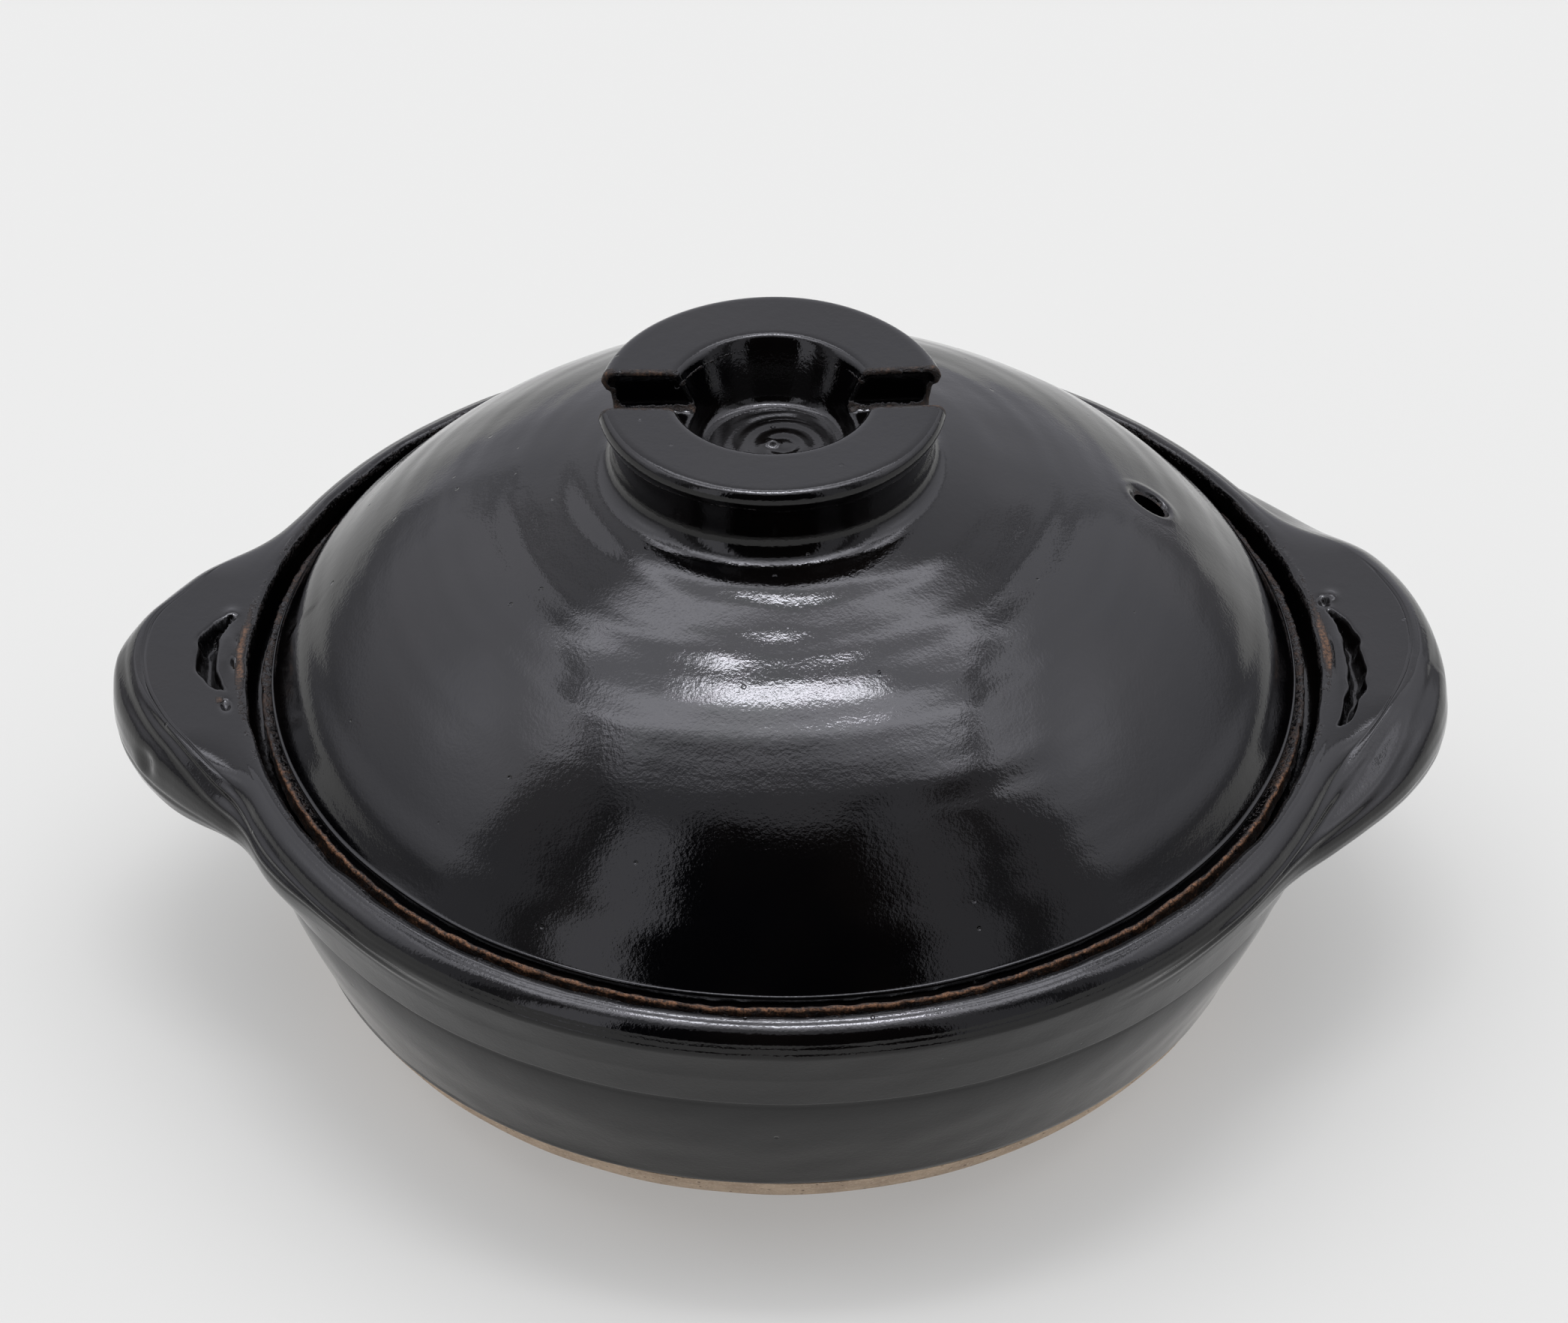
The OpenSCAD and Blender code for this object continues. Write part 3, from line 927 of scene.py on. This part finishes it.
def knob_field(p):
    """Distance to the knob: a lipped ring with a well, cut by a notch, melting into the dome."""
    x, y, z = p[..., 0], p[..., 1], p[..., 2]
    kx = x - KNOB_X
    r = np.hypot(kx, y)
    turn = np.arctan2(y, kx)
    here = flat(x, y)
    uneven = wobble(here, 16, 51)
    # A disc for the lip, tapering inwards as it goes down, on a neck that leans outwards.
    top = KNOB_Z - 0.55 - 0.022 * (34 - r) + 0.14 * uneven
    lip_r = LIP_R + 0.12 * uneven - 0.13 * np.maximum(z - KNOB_Z + 4, 0)**2 / 1.6
    lip_r = lip_r - (0.30 + 0.22 * np.cos(turn)**4) * np.maximum(KNOB_Z - 3.2 - z, 0)
    lip_low = KNOB_Z - 5.6 + 0.35 * np.sin(3 * turn + 1.1) + 0.25 * wobble(here, 6, 52)
    disc = smax(z - top, (r - lip_r) * 0.9, 1.6)
    disc = smax(disc, lip_low - z, 0.5)
    neck = smax(r - NECK_R - 0.15 * uneven - 0.16 * (z - KNOB_Z + 9), z - KNOB_Z + 3, 0.5)
    ring = smin(disc, neck, 0.7)
    slope = (WELL_TOP_R - WELL_FLOOR_R) / (KNOB_Z - CROWN_Z - 1)
    well = r - WELL_FLOOR_R - slope * (z - CROWN_Z - 0.3) - 0.1 * uneven
    ring = smax(ring, -well / math.hypot(1, slope), 1.5)
    across = y - NOTCH_Y - NOTCH_SKEW * kx + 0.12 * wobble(here, 14, 53)
    notch = smax(np.abs(across) - NOTCH_HALF, NOTCH_Z - z + 0.15 * uneven, 3.2)
    ring = smax(ring, -notch, 0.9)
    # The skirt round the neck ends just under the dome's skin, so that no edge of it shows.
    dome = (z - dome_height(x, y)) * 0.985
    sink = 0.02 + 0.008 * np.maximum(r - 40, 0)
    fillet = 2.2 + 3.6 * smooth(20, 32, r)
    whole = smin(ring, dome + sink, fillet)
    whole = np.maximum(whole, -1.6 - dome)
    return np.maximum(np.maximum(whole, r - KNOB_SKIRT_R), WELL_GAP_R - r)


def vertex_values(mesh, name):
    """A vector for each vertex of a mesh."""
    values = np.empty(len(mesh.vertices) * 3)
    mesh.vertices.foreach_get(name, values)
    return values.reshape(-1, 3)


def make_knob(material):
    """The knob, with the skirt of glaze that joins it to the dome."""
    low, high, step = (-51.6, -50.4, 124), (49.2, 50.4, 152.2), 0.55
    vertices, faces = surface_net(knob_field, low, high, step)
    piece = new_piece("knob_ring", vertices, faces, material, np.zeros(len(vertices)))
    face_outwards(piece)
    # The glaze thins on sharp convex edges, where a step of this depth into the clay ends
    # nearer to the surface than it does under a flat face.
    depth = 1.3
    place = vertex_values(piece.data, "co") / MM
    out = knob_field(place - depth * vertex_values(piece.data, "normal")) + depth
    convex = smooth(0.10, 0.45, out) * smooth(CROWN_Z + 2, CROWN_Z + 4, place[:, 2])
    wear = (0.70 * convex).astype(np.float32)
    piece.data.attributes["wear"].data.foreach_set("value", wear)
    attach(piece, "lid")
    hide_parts("knob")
    return piece


# ---------------------------------------------------------------- studio

def make_floor():
    """A wide pale floor, which glows a little so that shadows on it stay soft."""
    material, _, shader, _ = new_material("studio_floor")
    shader.inputs["Base Color"].default_value = (0.335, 0.335, 0.335, 1)
    shader.inputs["Emission Color"].default_value = (1, 1, 1, 1)
    shader.inputs["Emission Strength"].default_value = 0.30
    shader.inputs["Roughness"].default_value = 0.9
    shader.inputs["Specular IOR Level"].default_value = 0.1
    half = 9000
    corners = [(-half, -half, 0), (half, -half, 0), (half, half, 0), (-half, half, 0)]
    floor = new_piece("studio_floor", corners, [(0, 1, 2, 3)], material)


class Tent(Nodes):
    """A tent of light: each ray's direction as a place on its walls and ceiling."""

    def __init__(self, tree):
        super().__init__(tree)
        split = self.add("ShaderNodeSeparateXYZ")
        self.put(split.inputs[0], self.add("ShaderNodeTexCoord").outputs["Generated"])
        self.right, away, self.up = split.outputs
        degrees = 180 / math.pi
        # Degrees round from the viewer, alike to both sides, and degrees up.
        turned = self.times(self.math("ARCTAN2", self.right, self.times(away, -1.0)), degrees)
        self.side = self.math("ABSOLUTE", self.plus(turned, 0.8))
        self.rise = self.times(self.math("ARCSINE", self.up), degrees)
        # Where it meets a level ceiling one unit up: to either side, and towards the viewer.
        above = self.math("MAXIMUM", self.up, 0.02)
        self.across = self.math("ABSOLUTE", self.math("DIVIDE", self.right, above))
        self.ahead = self.times(self.math("DIVIDE", away, above), -1.0)
        # Degrees round with the backdrop's curl: it comes forward as it goes up.
        curl = self.math("MAXIMUM", self.math("DIVIDE", self.rise, 53.0), 0.0)
        self.past = self.plus(self.side, self.times(self.math("POWER", curl, 3.0), 20.0))
        # 0 low down, 1 where the ceiling can be.
        self.high = self.ramp(self.up, 0.3, 0.4)

    def window(self, value, low, high, soft):
        """1 from low to high and 0 outside, with edges twice as wide as soft."""
        return self.times(self.ramp(value, low - soft, low + soft),
                          self.ramp(value, high - soft, high + soft, 1.0, 0.0))


# The light where nothing else hangs, and plain panels on the walls, both sides alike: degrees
# round from the viewer (from, to), degrees up (from, to), softness of the edges, light.
PLAIN_LIGHT = 0.62
PANELS = [
    ((-10, 75), (50, 90), 4, 0.66),
    ((57, 73), (-10, 60), 2.5, 0.5),
    ((47, 57), (-10, 54), 1.5, 0.15),
    ((30, 47), (-10, 53), 1.2, 1.15),
    ((-10, 30), (-10, 59.5), 0.8, 0.012),
]


def hang_panels(t, light):
    """The plain panels: a dark front with a bright strip to each side, dimmer on the right."""
    for (a, b), (low, high), soft, strength in PANELS:
        mask = t.times(t.window(t.side, a, b, soft), t.window(t.rise, low, high, soft))
        light = t.mix(mask, light, strength, "FLOAT")
    dim = t.ramp(t.right, -0.1, 0.1, 1.0, 0.5)
    front = t.times(t.window(t.side, -10, 47, 1.5), t.window(t.rise, -10, 53, 2))
    return t.times(light, t.mix(front, 1.0, dim, "FLOAT"))


def hang_backdrop(t, light):
    """A pale backdrop that rises behind the pot and curls forward as it goes up."""
    mask = t.times(t.ramp(t.past, 150.8, 152.2), t.window(t.rise, -10, 66, 1.5))
    return t.mix(mask, light, t.ramp(t.rise, 5, 34, 0.68, 0.97), "FLOAT")


def hang_side_boxes(t, light):
    """A softbox on each side, from low down to the gap beside the ceiling: brightest near its
    top, dim at its lower edge, with a glow in its middle."""
    mask = t.times(t.ramp(t.side, 72, 74), t.ramp(t.past, 148.0, 149.6, 1.0, 0.0),
                   t.ramp(t.across, 0.60, 0.72))
    lamp = t.ramp(t.math("SUBTRACT", t.rise, t.times(t.side, 0.05)), -4, 42, 0.75, 1.7)
    lamp = t.times(t.plus(lamp, t.ramp(t.rise, 44, 58, 0.0, 1.7)),
                   t.ramp(t.rise, 3, 14, 0.52, 1.0))
    glow = t.times(t.window(t.side, 88, 108, 14), t.window(t.rise, 32, 42, 9))
    return t.mix(mask, light, t.plus(t.times(lamp, 0.92), t.times(glow, 0.7)), "FLOAT")


def hang_ceiling(t, light):
    """The ceiling softbox, brighter in two bands, with one bare tube overhead, and the far ends
    of two tubes in the gaps between it and the side softboxes."""
    mask = t.times(t.window(t.across, -1, 0.57, 0.05), t.window(t.ahead, -0.50, 0.31, 0.05),
                   t.high)
    tube = t.times(t.window(t.ahead, -0.06, 0.02, 0.02), t.window(t.across, -1, 0.2, 0.05))
    lamp = t.plus(2.25, t.times(t.window(t.ahead, -0.02, 0.17, 0.06), 2.6), t.times(tube, 22.0),
                  t.times(t.window(t.ahead, -0.40, -0.26, 0.06), 2.5))
    light = t.mix(mask, light, lamp, "FLOAT")
    ends = t.plus(t.window(t.ahead, -0.44, -0.37, 0.025), t.window(t.ahead, 0.02, 0.07, 0.025))
    ends = t.times(ends, t.window(t.across, 0.57, 0.67, 0.03), t.high)
    return t.mix(ends, light, 5.0, "FLOAT")


def make_world():
    """A soft tent of light: bright overhead and at both sides, dark where the viewer stands.
    The camera sees it as one pale tone, and mirror rays find it a little stronger and bluer."""
    world = bpy.data.worlds.new("studio_light")
    world.use_nodes = True
    bpy.context.scene.world = world
    t = Tent(world.node_tree)
    light = PLAIN_LIGHT
    for hang in (hang_panels, hang_backdrop, hang_side_boxes, hang_ceiling):
        light = hang(t, light)
    ray = t.add("ShaderNodeLightPath").outputs
    light = t.mix(ray["Is Camera Ray"], light, 0.84, "FLOAT")
    tint = t.mix(ray["Is Glossy Ray"], (1, 1, 1, 1), (1.20, 1.20, 1.31, 1))
    back = t.add("ShaderNodeBackground")
    t.put(back.inputs["Color"], tint)
    t.put(back.inputs["Strength"], light)
    out = t.add("ShaderNodeOutputWorld")
    t.put(out.inputs["Surface"], back.outputs[0])


def make_camera():
    """Looks down on the pot from the front, from far off, as with a long lens."""
    away, height, rise = 1168.5 * MM, 76.96 * MM, math.radians(38.114)
    to_right = 0.9 * MM
    data = bpy.data.cameras.new("camera")
    data.sensor_width = 36
    data.lens = 120.5
    data.clip_end = 100
    camera = bpy.data.objects.new("camera", data)
    camera.location = (to_right, -away * math.cos(rise), height + away * math.sin(rise))
    camera.rotation_euler = (math.pi / 2 - rise, 0, 0)
    bpy.context.scene.collection.objects.link(camera)
    bpy.context.scene.camera = camera


def main():
    """Makes the studio, then every piece of the pot and its lid."""
    gloss = glaze_material("black_glaze_gloss", satin=0.035,
                           bare_dark=(0.006, 0.0025, 0.0015, 1), bare_pale=(0.11, 0.055, 0.03, 1))
    # Its dark and pale clay also paint the shade and the highlight on the lid's seat.
    edge = glaze_material("toasted_clay_edge_painted_light_and_shade", satin=0.05,
                          bare_dark=(0.012, 0.005, 0.0025, 1), bare_pale=(0.20, 0.095, 0.05, 1))
    bare = clay_material("bare_clay_sandy", pale=(0.56, 0.43, 0.315, 1),
                         dark=(0.38, 0.28, 0.20, 1), fleck=(0.70, 0.58, 0.46, 1), grain_mm=0.7)
    make_camera()
    make_world()
    make_floor()
    make_base(bare)
    make_bowl(gloss)
    make_dome(gloss)
    make_flange(edge)
    make_knob(gloss)
    bpy.context.scene.view_settings.view_transform = "Standard"


main()
bpy.context.view_layer.update()
